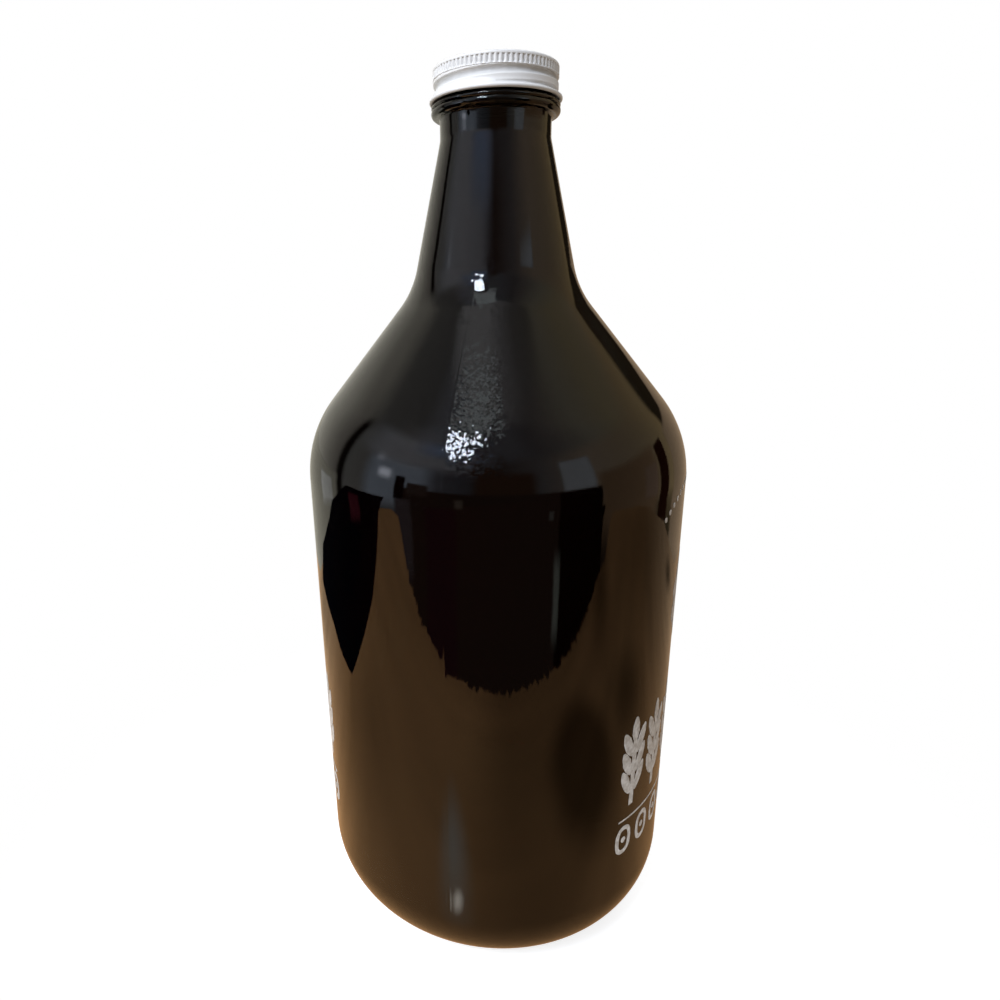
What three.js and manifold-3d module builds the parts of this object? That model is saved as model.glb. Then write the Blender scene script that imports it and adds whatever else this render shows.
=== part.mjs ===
// Half-gallon amber glass growler with a white enamelled metal screw cap.
// Millimetres, +Z up. The origin is the centre of the foot, on the surface that it stands on.
// The front of the object faces -Y.

import * as THREE from 'three';
import { mergeVertices } from 'three/addons/utils/BufferGeometryUtils.js';
import Module from 'manifold-3d';

const wasm = await Module();
wasm.setup();

// Body of the bottle. Its outline is a chain of straight lines with rounded corners.
const HEIGHT = 285;              // foot to the top of the cap
const HEEL_RADIUS = 62;          // where the heel meets the side wall
const HEEL_HEIGHT = 24;
const HEEL_ROUNDING = 22;        // how far the heel runs in, to the foot
const FOOT_WIDTH = 3;            // flat ring that the bottle stands on
const PUSH_UP = 4;               // rise of the hollow under the base
const SHOULDER_RADIUS = 64.5;    // corner between the side wall and the shoulder, before rounding
const SHOULDER_Z = 172.5;
const SHOULDER_ROUNDING = 40;
const NECK_ROOT_RADIUS = 27.2;   // corner between the shoulder and the neck, before rounding
const NECK_ROOT_Z = 219;
const NECK_ROOT_ROUNDING = 30;
const NECK_RADIUS = 17.5;        // the short upright neck under the ring
const NECK_Z = 264.5;
const NECK_ROUNDING = 6;
const WALL = 4.5;
const BASE_THICKNESS = 6;

// Glass ring below the cap, a band with rounded edges.
const RING_RADIUS = 20.2;
const RING_Z = 270.8;            // its underside
const RING_TOP_Z = 274.5;
const RING_LOWER_ROUNDING = 1.6;
const RING_UPPER_ROUNDING = 1.2;

// Threaded finish, under the cap.
const FINISH_RADIUS = 17.4;
const THREAD_CREST = 18.3;
const THREAD_SECTION = 1;        // radius of the rounded thread
const THREAD_PITCH = 4.2;
const THREAD_TURNS = 1.15;
const THREAD_START_Z = 276.2;
const MOUTH_ROUNDING = 1.2;

// Screw cap, pressed from sheet, with a knurled crown, a rolled thread and a curled edge.
const CAP_HEIGHT = 10;
const CROWN_RADIUS = 19.6;
const CROWN_HEIGHT = 3.8;
const CROWN_ROUNDING = 0.9;
const KNURLS = 80;
const KNURL_DEPTH = 0.24;
const SKIRT_RADIUS = 19.5;
const CURL_RADIUS = 20.7;
const CURL_SECTION = 0.6;        // radius of the rolled edge
const FLARE_HEIGHT = 2.4;        // from the cap's edge to where its skirt is upright
const GROOVE_DEPTH = 0.42;
const GROOVE_HALF_WIDTH = 1.1;
const GROOVE_FRONT_Z = 280.1;    // height of the groove at the front, on its second turn
const GROOVE_START = 0.04;       // in turns from the front, counterclockwise seen from above
const GROOVE_END = 1.32;
const GROOVE_FADE = 0.1;
const SHEET = 0.8;               // thickness of the cap's top
const CAP_BORE = 18.6;           // inside the skirt
const CURL_BORE = 19.4;          // inside the curled edge
const GAP = 0.3;                 // between the glass and the cap

const BOTTLE_SEGMENTS = 72;
const BORE_SEGMENTS = 48;
const SKIRT_SEGMENTS = 72;

const CAP_EDGE_Z = HEIGHT - CAP_HEIGHT;
const CROWN_Z = HEIGHT - CROWN_HEIGHT;
const LIP_Z = HEIGHT - SHEET - GAP;
const FOOT_RADIUS = HEEL_RADIUS - HEEL_ROUNDING;

const point = (r, z) => new THREE.Vector2(r, z);

// Points of a round stretch: radius rr outwards and rz upwards, between two angles from the r axis.
function arc(centre, rr, rz, from, to, steps) {
  const points = [];
  for (let i = 0; i <= steps; i++) {
    const a = THREE.MathUtils.degToRad(from + (to - from) * i / steps);
    points.push(point(centre.x + rr * Math.cos(a), centre.y + rz * Math.sin(a)));
  }
  return points;
}

// The arc that rounds the corner b of the line a, b, c with the given radius.
function roundCorner(a, b, c, radius, steps) {
  const u = a.clone().sub(b).normalize();
  const v = c.clone().sub(b).normalize();
  const half = Math.acos(u.dot(v)) / 2;
  const centre = u.clone().add(v).normalize().multiplyScalar(radius / Math.sin(half)).add(b);
  const reach = radius / Math.tan(half);
  const start = u.multiplyScalar(reach).add(b).sub(centre).angle();
  const end = v.multiplyScalar(reach).add(b).sub(centre).angle();
  const turn = (end - start + 3 * Math.PI) % (2 * Math.PI) - Math.PI;
  const from = THREE.MathUtils.radToDeg(start);
  return arc(centre, radius, radius, from, from + THREE.MathUtils.radToDeg(turn), steps);
}

// The corners moved by a distance square to each line, to the side of the axis.
function inset(corners, distance) {
  const lines = corners.slice(1).map((end, i) => {
    const along = end.clone().sub(corners[i]).normalize();
    const side = point(-along.y, along.x).multiplyScalar(distance);
    return { start: corners[i].clone().add(side), along };
  });
  const moved = [lines[0].start];
  for (let i = 1; i < lines.length; i++) {
    const p = lines[i - 1];
    const q = lines[i];
    const between = q.start.clone().sub(p.start);
    const t = between.cross(q.along) / p.along.cross(q.along);
    moved.push(p.along.clone().multiplyScalar(t).add(p.start));
  }
  const last = lines[lines.length - 1];
  moved.push(corners[corners.length - 1].clone().sub(corners[corners.length - 2]).add(last.start));
  return moved;
}

// Side wall, shoulder and neck, from the top of the heel to the underside of the ring.
const WALL_CORNERS = [
  point(HEEL_RADIUS, HEEL_HEIGHT),
  point(SHOULDER_RADIUS, SHOULDER_Z),
  point(NECK_ROOT_RADIUS, NECK_ROOT_Z),
  point(NECK_RADIUS, NECK_Z),
  point(NECK_RADIUS, RING_Z),
];

function wallOutline(corners, roundings, steps) {
  const points = [];
  for (let i = 1; i < corners.length - 1; i++) {
    points.push(...roundCorner(corners[i - 1], corners[i], corners[i + 1], roundings[i - 1], steps[i - 1]));
  }
  return points;
}

// A shallow dome under the base, from the foot to the axis.
function pushUp(rise, base, steps) {
  const radius = FOOT_RADIUS - FOOT_WIDTH;
  const points = [];
  for (let i = 0; i <= steps; i++) {
    const r = radius * i / steps;
    points.push(point(r, base + rise * (1 - (r / radius) ** 2)));
  }
  return points;
}

function revolve(points, segments) {
  const geometry = new THREE.LatheGeometry(points, segments);
  return geometry.rotateX(Math.PI / 2);
}

// A closed geometry as a solid. Triangles that shrink to a line at the axis are left out.
function solid(geometry) {
  geometry.deleteAttribute('normal');
  geometry.deleteAttribute('uv');
  const merged = mergeVertices(geometry, 1e-4);
  const index = merged.index.array;
  const triangles = [];
  for (let i = 0; i < index.length; i += 3) {
    const [a, b, c] = index.subarray(i, i + 3);
    if (a !== b && b !== c && c !== a) triangles.push(a, b, c);
  }
  const vertProperties = Float32Array.from(merged.attributes.position.array);
  const make = (verts) => new wasm.Manifold(new wasm.Mesh({
    numProp: 3, vertProperties, triVerts: Uint32Array.from(verts),
  }));
  const made = make(triangles);
  return made.volume() > 0 ? made : make(triangles.reverse());
}

function geometryOf(manifold) {
  const mesh = manifold.getMesh();
  const geometry = new THREE.BufferGeometry();
  geometry.setAttribute('position', new THREE.BufferAttribute(mesh.vertProperties, 3));
  geometry.setIndex(new THREE.BufferAttribute(mesh.triVerts, 1));
  geometry.computeVertexNormals();
  return geometry;
}

// Heel, side wall, shoulder, neck, ring and threaded finish, as a solid of revolution.
function bottleOutside() {
  const lowerCentre = point(RING_RADIUS - RING_LOWER_ROUNDING, RING_Z + RING_LOWER_ROUNDING);
  const upperCentre = point(RING_RADIUS - RING_UPPER_ROUNDING, RING_TOP_Z - RING_UPPER_ROUNDING);
  const lipCentre = point(FINISH_RADIUS - MOUTH_ROUNDING, LIP_Z - MOUTH_ROUNDING);
  return solid(revolve([
    ...pushUp(PUSH_UP, 0, 4),
    ...arc(point(FOOT_RADIUS, HEEL_HEIGHT), HEEL_ROUNDING, HEEL_HEIGHT, -90, 0, 8),
    ...wallOutline(WALL_CORNERS, [SHOULDER_ROUNDING, NECK_ROOT_ROUNDING, NECK_ROUNDING], [7, 4, 1]),
    point(NECK_RADIUS, RING_Z),
    ...arc(lowerCentre, RING_LOWER_ROUNDING, RING_LOWER_ROUNDING, -90, 0, 3),
    ...arc(upperCentre, RING_UPPER_ROUNDING, RING_UPPER_ROUNDING, 0, 90, 3),
    point(FINISH_RADIUS, RING_TOP_Z),
    ...arc(lipCentre, MOUTH_ROUNDING, MOUTH_ROUNDING, 0, 90, 2),
    point(0, LIP_Z),
  ], BOTTLE_SEGMENTS));
}

// The space inside, open at the mouth. It runs on past the lip so that it cuts right through.
function bottleInside() {
  const corners = inset(WALL_CORNERS, WALL);
  const floor = BASE_THICKNESS;
  const roundings = [SHOULDER_ROUNDING - WALL, NECK_ROOT_ROUNDING + WALL, NECK_ROUNDING];
  const heelWidth = corners[0].x - FOOT_RADIUS + FOOT_WIDTH;
  const heelCentre = point(FOOT_RADIUS - FOOT_WIDTH, HEEL_HEIGHT);
  return solid(revolve([
    ...pushUp(PUSH_UP, floor, 2).slice(0, -1),
    ...arc(heelCentre, heelWidth, HEEL_HEIGHT - floor, -90, 0, 5),
    ...wallOutline(corners, roundings, [5, 3, 1]),
    point(corners[4].x, HEIGHT + WALL),
    point(0, HEIGHT + WALL),
  ], BORE_SEGMENTS));
}

// The path of the thread on the glass, a right-hand helix.
class Helix extends THREE.Curve {
  constructor(radius, pitch, turns, startZ) {
    super();
    Object.assign(this, { radius, pitch, turns, startZ });
  }

  getPoint(t, target = new THREE.Vector3()) {
    const a = 2 * Math.PI * this.turns * t;
    const z = this.startZ + this.pitch * this.turns * t;
    return target.set(this.radius * Math.sin(a), -this.radius * Math.cos(a), z);
  }
}

function thread() {
  const path = new Helix(THREAD_CREST - THREAD_SECTION, THREAD_PITCH, THREAD_TURNS, THREAD_START_Z);
  const section = new THREE.Shape().absarc(0, 0, THREAD_SECTION, 0, 2 * Math.PI);
  const options = { steps: 48, curveSegments: 4, extrudePath: path };
  return solid(new THREE.ExtrudeGeometry(section, options));
}

function bottle() {
  return geometryOf(bottleOutside().add(thread()).subtract(bottleInside()));
}

// Moves each vertex in or out along its radius, by a function of its angle from the front and height.
function pressIn(geometry, depthAt) {
  const position = geometry.attributes.position;
  for (let i = 0; i < position.count; i++) {
    const x = position.getX(i);
    const y = position.getY(i);
    const r = Math.hypot(x, y);
    if (r < CAP_BORE) continue;
    const turn = Math.atan2(x, -y) / (2 * Math.PI);
    const k = 1 - depthAt(turn < -1e-6 ? turn + 1 : turn, position.getZ(i)) / r;
    position.setXY(i, x * k, y * k);
  }
  return geometry;
}

// The top of the cap: fine upright knurls all round, under a rounded edge.
function crown() {
  const edge = point(CROWN_RADIUS - CROWN_ROUNDING, HEIGHT - CROWN_ROUNDING);
  const geometry = revolve([
    point(0, CROWN_Z),
    point(SKIRT_RADIUS - GROOVE_DEPTH, CROWN_Z),
    point(CROWN_RADIUS, CROWN_Z + CROWN_ROUNDING / 2),
    ...arc(edge, CROWN_ROUNDING, CROWN_ROUNDING, 0, 90, 2),
    point(0, HEIGHT),
  ], 2 * KNURLS);
  const knurl = (turn) => KNURL_DEPTH * (1 - Math.cos(2 * Math.PI * KNURLS * turn)) / 2;
  return solid(pressIn(geometry, (turn, z) => (z > CROWN_Z + 0.1 ? knurl(turn) : 0)));
}

// How deep the rolled thread is at a place on the skirt. It fades out at its two ends.
function grooveDepth(turn, z) {
  let depth = 0;
  for (const s of [turn, turn + 1]) {
    const centre = GROOVE_FRONT_Z + THREAD_PITCH * (s - 1);
    const across = Math.max(0, 1 - ((z - centre) / GROOVE_HALF_WIDTH) ** 2);
    const fromEnds = Math.min(s - GROOVE_START, GROOVE_END - s) / GROOVE_FADE;
    depth = Math.max(depth, GROOVE_DEPTH * across * THREE.MathUtils.clamp(fromEnds, 0, 1));
  }
  return depth;
}

// The skirt with its rolled thread, flaring to the curled edge.
function skirt() {
  const curl = point(CURL_RADIUS - CURL_SECTION, CAP_EDGE_Z + CURL_SECTION);
  const rows = 7;
  const upright = [];
  for (let i = 0; i <= rows; i++) {
    const z = THREE.MathUtils.lerp(CAP_EDGE_Z + FLARE_HEIGHT, CROWN_Z, i / rows);
    upright.push(point(SKIRT_RADIUS, z));
  }
  const geometry = revolve([
    point(0, CAP_EDGE_Z),
    ...arc(curl, CURL_SECTION, CURL_SECTION, -90, 60, 4),
    ...upright,
    point(SKIRT_RADIUS - GROOVE_DEPTH, CROWN_Z + GAP),
    point(0, CROWN_Z + GAP),
  ], SKIRT_SEGMENTS);
  return solid(pressIn(geometry, (turn, z) => (z < CROWN_Z + GAP / 2 ? grooveDepth(turn, z) : 0)));
}

function capInside() {
  const curlTop = CAP_EDGE_Z + 2 * CURL_SECTION;
  return solid(revolve([
    point(0, CAP_EDGE_Z - 1),
    point(CURL_BORE, CAP_EDGE_Z - 1),
    point(CURL_BORE, curlTop - CURL_SECTION / 2),
    point(CAP_BORE, curlTop + CURL_SECTION / 2),
    point(CAP_BORE, HEIGHT - SHEET),
    point(0, HEIGHT - SHEET),
  ], SKIRT_SEGMENTS));
}

function cap() {
  return geometryOf(crown().add(skirt()).subtract(capInside()));
}

const amberGlass = new THREE.MeshStandardMaterial({
  color: '#1c120c', roughness: 0.08, metalness: 0, transparent: true, opacity: 0.95,
});
const whiteEnamel = new THREE.MeshStandardMaterial({
  color: '#e9e8e6', roughness: 0.35, metalness: 0,
});

function part(name, geometry, material) {
  const mesh = new THREE.Mesh(geometry, material);
  mesh.name = name;
  return mesh;
}

const group = new THREE.Group();
group.add(part('bottle', bottle(), amberGlass));
group.add(part('cap', cap(), whiteEnamel));

export default group;
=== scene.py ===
# %% [markdown]
# # A glass growler with a screw cap
#
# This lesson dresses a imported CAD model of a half-gallon beer growler: a dark
# amber glass bottle with white print fired onto it, and a white enamelled metal
# cap. The CAD model gives the sizes. The bottle and the cap are made anew at a
# finer grain, in the same place, and each then stands in for its CAD node.
#
# Lengths in the formulas are millimetres, because that is how a bottle is
# drawn. They turn to Blender's metres once, when a mesh is made. The room around
# the bottle is given in metres.

import bpy
import numpy as np
from mathutils import Matrix, Vector


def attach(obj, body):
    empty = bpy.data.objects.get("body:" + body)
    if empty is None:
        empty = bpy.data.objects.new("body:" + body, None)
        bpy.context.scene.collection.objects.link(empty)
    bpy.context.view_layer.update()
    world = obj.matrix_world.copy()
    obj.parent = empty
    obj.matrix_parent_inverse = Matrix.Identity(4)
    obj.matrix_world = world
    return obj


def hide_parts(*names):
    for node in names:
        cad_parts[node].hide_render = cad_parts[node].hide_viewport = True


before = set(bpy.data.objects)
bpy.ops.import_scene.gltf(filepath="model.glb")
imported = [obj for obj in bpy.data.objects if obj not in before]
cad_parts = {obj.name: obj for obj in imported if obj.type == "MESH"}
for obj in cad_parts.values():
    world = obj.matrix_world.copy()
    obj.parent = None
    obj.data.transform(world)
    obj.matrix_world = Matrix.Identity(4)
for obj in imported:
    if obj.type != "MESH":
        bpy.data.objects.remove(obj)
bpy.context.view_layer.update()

MM = 0.001
scene = bpy.context.scene

# %% [markdown]
# ## Grids
#
# Most shapes here are turned on a lathe, pressed or printed, so each is a
# surface with two parameters. A whole table of points is worked out with numpy
# at once, and one helper joins neighbours in that table into four-sided faces.
# Modelling by hand with the Spin tool gives the same shape, but a table keeps
# the numbers in sight and runs in an instant.

# %% A grid of points becomes a mesh
def quads(rows, columns, rows_meet=False, columns_meet=True):
    """Faces of a grid: each joins a point with the next one along its row and the two in the row
    below. Where a direction meets itself, the last line joins the first."""
    r = np.arange(rows if rows_meet else rows - 1)
    c = np.arange(columns if columns_meet else columns - 1)
    r, c = (a.ravel() for a in np.meshgrid(r, c, indexing="ij"))
    down, along = (r + 1) % rows, (c + 1) % columns
    corners = [r * columns + c, r * columns + along, down * columns + along, down * columns + c]
    return np.stack(corners, 1)


def closed_shell(rows, columns):
    """Faces of a turned outline whose first and last rows are each closed by a fan of triangles to
    a pole. The two poles are the points that follow the grid."""
    here = np.arange(columns)
    along = (here + 1) % columns
    last = (rows - 1) * columns
    pole = np.full(columns, rows * columns)
    first_fan = np.stack([pole, along, here], 1)
    last_fan = np.stack([pole + 1, last + here, last + along], 1)
    return [*quads(rows, columns), *first_fan, *last_fan]


def piece(name, points_mm, faces, material, sharp_degrees=35):
    """A mesh object at the origin, with smooth shading except over edges sharper than an angle."""
    mesh = bpy.data.meshes.new(name)
    mesh.from_pydata((points_mm * MM).tolist(), [], [list(map(int, f)) for f in faces])
    mesh.validate()
    mesh.shade_smooth()
    mesh.set_sharp_from_angle(angle=np.radians(sharp_degrees))
    mesh.materials.append(material)
    made = bpy.data.objects.new(name, mesh)
    scene.collection.objects.link(made)
    size = np.ptp(points_mm, axis=0)
    print(f"{name}: {len(mesh.polygons)} faces, {size[0]:.1f} x {size[1]:.1f} x {size[2]:.1f} mm")
    return made


def lathe(profile, angles, radius_change=None):
    """Points of a profile of (radius, height) turned about Z: x = r sin(angle), y = -r cos(angle),
    z = height, so angle 0 is the front. radius_change(r, angle, z) is added to the radius."""
    r, angle = np.meshgrid(profile[:, 0], angles, indexing="ij")
    z = np.broadcast_to(profile[:, 1:], r.shape)
    if radius_change is not None:
        r = r + radius_change(r, angle, z)
    return np.stack([r * np.sin(angle), -r * np.cos(angle), z], -1).reshape(-1, 3)


def smooth_step(x, start, end):
    """0 before start and 1 after end, with the S curve t * t * (3 - 2t) between."""
    t = np.clip((x - start) / (end - start), 0, 1)
    return t * t * (3 - 2 * t)

# %% [markdown]
# ## Outlines
#
# A glassmaker draws a bottle as half of its outline: straight lines whose
# corners are rounded by arcs. The same helpers draw the glass and the cap.

# %% Arcs and rounded corners
def arc(centre, radii, start, end, steps):
    """Points at centre + (radii[0] cos a, radii[1] sin a), for an angle a from start to end in
    degrees."""
    a = np.radians(np.linspace(start, end, steps + 1))
    return np.stack([centre[0] + radii[0] * np.cos(a), centre[1] + radii[1] * np.sin(a)], 1)


def round_corner(a, b, c, radius, steps):
    """The arc that touches the lines from b to a and from b to c. Its centre is on the line that
    halves the corner, at radius / sin(half the angle) from b."""
    u, v = (np.subtract(p, b) / np.linalg.norm(np.subtract(p, b)) for p in (a, c))
    half = np.arccos(u @ v) / 2
    centre = b + (u + v) / np.linalg.norm(u + v) * radius / np.sin(half)
    ends = [b + w * radius / np.tan(half) - centre for w in (u, v)]
    start, end = (np.degrees(np.arctan2(e[1], e[0])) for e in ends)
    return arc(centre, (radius, radius), start, start + (end - start + 180) % 360 - 180, steps)


def rounded(corners, radii, steps):
    """The inner corners of a chain of lines, each rounded."""
    corners = np.array(corners, float)
    chains = [round_corner(*corners[i:i + 3], r, n) for i, (r, n) in enumerate(zip(radii, steps))]
    return np.concatenate(chains)


def inset(corners, distance):
    """The corners of a chain of lines after each line moves sideways, to the left of its direction.
    A moved corner is where two moved lines cross."""
    corners = np.array(corners, float)
    along = np.diff(corners, axis=0)
    along /= np.linalg.norm(along, axis=1)[:, None]
    side = np.stack([-along[:, 1], along[:, 0]], 1) * distance
    moved = [corners[0] + side[0]]
    for i in range(1, len(along)):
        crossing = np.stack([along[i - 1], -along[i]], 1)
        t = np.linalg.solve(crossing, side[i] - side[i - 1])[0]
        moved.append(corners[i] + side[i - 1] + along[i - 1] * t)
    return np.array(moved + [corners[-1] + side[-1]])


def densify(points, longest):
    """Extra points on straight stretches, so that no step is longer than a length."""
    out = [points[:1]]
    for p, q in zip(points[:-1], points[1:]):
        n = max(1, int(np.ceil(np.linalg.norm(q - p) / longest)))
        out.append(p + (q - p) * (np.arange(1, n + 1) / n)[:, None])
    return np.concatenate(out)

# %% [markdown]
# ## Colours and nodes
#
# Colours are written as the hex values a paint program shows. Blender's shaders
# work in linear light, so one function turns them. Another adds a node with its
# settings and its links in one line, which keeps a long material readable.

# %% Helpers for materials
def linear(hex_colour):
    """A colour such as #c0954f as linear red, green, blue and alpha."""
    srgb = np.array([int(hex_colour[i:i + 2], 16) for i in (1, 3, 5)]) / 255
    rgb = np.where(srgb <= 0.04045, srgb / 12.92, ((srgb + 0.055) / 1.055) ** 2.4)
    return (*rgb.tolist(), 1.0)


def add(tree, kind, values=(), **settings):
    """A new node. values gives each input a number, a colour, or another node's output to link."""
    node = tree.nodes.new(kind)
    for key, value in settings.items():
        setattr(node, key, value)
    for key, value in dict(values).items():
        socket = node.inputs[key]
        if isinstance(value, bpy.types.NodeSocket):
            tree.links.new(value, socket)
        else:
            socket.default_value = value
    return node


def new_material(name):
    """An empty material with its output node."""
    made = bpy.data.materials.new(name)
    made.use_nodes = True
    made.node_tree.nodes.clear()
    return made, made.node_tree, add(made.node_tree, "ShaderNodeOutputMaterial")


def off_the_front(tree, xyz):
    """The compass angle of a place or a direction, atan2(x, -y) in radians: 0 at the front."""
    front = add(tree, "ShaderNodeMath", {0: xyz["Y"], 1: -1.0}, operation="MULTIPLY").outputs[0]
    return add(tree, "ShaderNodeMath", {0: xyz["X"], 1: front}, operation="ARCTAN2").outputs[0]


def between(tree, value, low, low_full, high_full, high):
    """1 while value is from low_full to high_full, falling smoothly to 0 at low and at high."""
    rise = add(tree, "ShaderNodeMapRange", {
        "Value": value, "From Min": low, "From Max": low_full}, interpolation_type="SMOOTHSTEP")
    fall = add(tree, "ShaderNodeMapRange", {
        "Value": value, "From Min": high_full, "From Max": high, "To Min": 1.0, "To Max": 0.0},
        interpolation_type="SMOOTHSTEP")
    both = {0: rise.outputs[0], 1: fall.outputs[0]}
    return add(tree, "ShaderNodeMath", both, operation="MULTIPLY").outputs[0]

# %% [markdown]
# ## Amber bottle glass
#
# Beer is kept in amber glass because iron and sulphur in the melt soak up the
# light that spoils it. Thin glass looks honey brown, and 4.5 mm of it, twice,
# is nearly black. So the colour isn't on the surface: it is a Volume Absorption
# inside a closed wall, which darkens a ray by how far it goes through the glass.
# What the eye then sees of the body is mostly the gloss of its skin.
#
# Blown glass is never optically flat. Low waves bend its reflections, and fine
# upright ripples, from where the hot glass slid along the mould, fray their
# edges. On one side of the front mould seam the shoulder is also stippled, as a
# worn or cold mould leaves it. Each grain there is a facet with a lean of its
# own, so it either catches a light or misses it, and the reflection breaks into
# sparks. Lumps at the root of the neck bend the same light into drops.

# %% Where the glass is uneven
WALL = 4.5                                   # mm, of glass
SEAM_ANGLE = -12.7                           # degrees from the front; the other seam is opposite
WAVE_LENGTH, WAVE_HEIGHT = 34.0, 0.22        # mm, the slow waves in the skin
RIPPLE_LENGTH, RIPPLE_HEIGHT = 2.6, 0.006    # mm, the upright ripples of the side wall
RIPPLE_SQUEEZE = 0.09                        # of their height, so they are 11 times as tall
LUMP_SIZE, LUMP_HEIGHT = 4.0, 0.3            # mm, at the root of the neck
STIPPLE_SIZE = 0.6                           # mm, one grain beside the seam on the shoulder
STIPPLE_LEAN = 0.17                          # grains lean up to about 5 degrees either way

# Each mask is given as low, low_full, high_full and high: degrees across, metres upwards.
STIPPLE_ACROSS = (SEAM_ANGLE - 0.1, SEAM_ANGLE + 0.1, -2, 8)
STIPPLE_UP = (0.168, 0.1745, 0.180, 0.222)
RIPPLES_UP = (0.03, 0.06, 0.15, 0.172)
LUMPS_ACROSS = (-24, -14, -2, 8)
LUMPS_UP = (0.206, 0.214, 0.224, 0.232)

amber_glass, tree, output = new_material("amber_bottle_glass")
place = add(tree, "ShaderNodeTexCoord").outputs["Object"]
xyz = add(tree, "ShaderNodeSeparateXYZ", {0: place}).outputs
angle = off_the_front(tree, xyz)
ripples_here = between(tree, xyz["Z"], *RIPPLES_UP)
stippled, lumpy_here = (
    add(tree, "ShaderNodeMath", {
        0: between(tree, angle, *np.radians(across)),
        1: between(tree, xyz["Z"], *upward)}, operation="MULTIPLY").outputs[0]
    for across, upward in ((STIPPLE_ACROSS, STIPPLE_UP), (LUMPS_ACROSS, LUMPS_UP)))

# %% Waves, ripples and lumps
stretched = add(tree, "ShaderNodeMapping", {"Vector": place, "Scale": (1, 1, RIPPLE_SQUEEZE)})
normal = None
for where, length, height, strength in (
        (place, WAVE_LENGTH, WAVE_HEIGHT, 1.0),
        (stretched.outputs[0], RIPPLE_LENGTH, RIPPLE_HEIGHT, ripples_here),
        (place, LUMP_SIZE, LUMP_HEIGHT, lumpy_here)):
    noise = add(tree, "ShaderNodeTexNoise", {
        "Vector": where, "Scale": 1 / (length * MM), "Detail": 1.0}).outputs["Fac"]
    bump = {"Height": noise, "Strength": strength, "Distance": height * MM}
    if normal:
        bump["Normal"] = normal
    normal = add(tree, "ShaderNodeBump", bump).outputs[0]

# %% Stipple, gloss and depth
GLASS_COLOUR, ABSORPTION = "#c0954f", 1400.0      # the second per metre
GLOSS, STIPPLE_GLOSS = 0.035, 0.05                # roughness of the skin

grains = add(tree, "ShaderNodeTexVoronoi", {"Vector": place, "Scale": 1 / (STIPPLE_SIZE * MM)})
lean = add(tree, "ShaderNodeVectorMath", {
    0: grains.outputs["Color"], 1: (0.5, 0.5, 0.5)}, operation="SUBTRACT").outputs[0]
far_over = add(tree, "ShaderNodeMath", {
    0: stippled, 1: STIPPLE_LEAN}, operation="MULTIPLY").outputs[0]
lean = add(tree, "ShaderNodeVectorMath", {0: lean, "Scale": far_over}, operation="SCALE").outputs[0]
leaning = add(tree, "ShaderNodeVectorMath", {0: normal, 1: lean}, operation="ADD").outputs[0]
facets = add(tree, "ShaderNodeVectorMath", {0: leaning}, operation="NORMALIZE").outputs[0]
haze = add(tree, "ShaderNodeMapRange", {
    "Value": stippled, "To Min": GLOSS, "To Max": STIPPLE_GLOSS}).outputs[0]
skin_shader = add(tree, "ShaderNodeBsdfPrincipled", {
    "Base Color": (1, 1, 1, 1),
    "Roughness": haze,
    "IOR": 1.52,                  # soda-lime bottle glass
    "Transmission Weight": 1.0,
    "Normal": facets,
})
depth = add(tree, "ShaderNodeVolumeAbsorption", {
    "Color": linear(GLASS_COLOUR), "Density": ABSORPTION})
tree.links.new(skin_shader.outputs[0], output.inputs["Surface"])
tree.links.new(depth.outputs[0], output.inputs["Volume"])
passed = np.exp(-ABSORPTION * (1 - np.array(linear(GLASS_COLOUR)[:3])) * WALL * MM)
print("one wall passes this share of red, green and blue:", passed.round(3))

# %% [markdown]
# ## The bottle
#
# The outline runs from the middle of the base outwards, up the outside and over
# the lip, then down the inside and back to the middle, so that the wall is one
# closed shell. Absorption inside a mesh needs that: a ray has to find where the
# glass ends. The two mould halves leave a fine raised seam, here near the front
# and at the back, between the two prints. Extra columns of the grid stand close
# together there to carry it.

# %% Outline of the glass, in mm
FOOT, FOOT_WIDTH, PUSH_UP, BASE = 40.0, 3.0, 4.0, 6.0
HEEL_HEIGHT, HEEL_RUN = 24.0, 22.0
NECK, NECK_FILLET = 17.5, 0.5
RING, RING_LOW, RING_TOP = 20.2, 270.8, 274.5
LOWER_LIP, UPPER_LIP = 1.4, 0.7              # roundings of the ring's two lips, with a waist between
UPPER_LIP_IN = 0.75                          # from the ring's radius to the upper rounding's centre
FINISH, LIP_Z, LIP_ROUNDING, MOUTH_ROUNDING = 17.4, 283.9, 1.2, 0.6
WALL_CORNERS = [(62.0, 24.0), (64.5, 172.5), (27.2, 219.0), (NECK, 264.5), (NECK, RING_LOW)]
ROUNDINGS = [40.0, 30.0, 6.0]
LONGEST_STEP = 5.0


def base_dome(height, steps):
    """A shallow dome: its rise is the push-up times 1 - (r / r at the foot ring)^2."""
    r = np.linspace(0, FOOT - FOOT_WIDTH, steps + 1)
    return np.stack([r, height + PUSH_UP * (1 - (r / r[-1]) ** 2)], 1)


skin = np.concatenate([
    arc((FOOT, HEEL_HEIGHT), (HEEL_RUN, HEEL_HEIGHT), -90, 0, 36),
    rounded(WALL_CORNERS, ROUNDINGS, [30, 20, 6]),
])
outside = np.concatenate([
    base_dome(0, 16)[1:],
    skin,
    arc((NECK + NECK_FILLET, RING_LOW - NECK_FILLET), (NECK_FILLET, NECK_FILLET), 180, 90, 4),
    arc((RING - LOWER_LIP, RING_LOW + LOWER_LIP), (LOWER_LIP, LOWER_LIP), -90, 50, 16),
    arc((RING - UPPER_LIP_IN, RING_TOP - UPPER_LIP), (UPPER_LIP, UPPER_LIP), -50, 90, 12),
    [(FINISH, RING_TOP)],
    arc((FINISH - LIP_ROUNDING, LIP_Z - LIP_ROUNDING), (LIP_ROUNDING, LIP_ROUNDING), 0, 90, 6),
])
inner_corners = inset(WALL_CORNERS, WALL)
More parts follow.
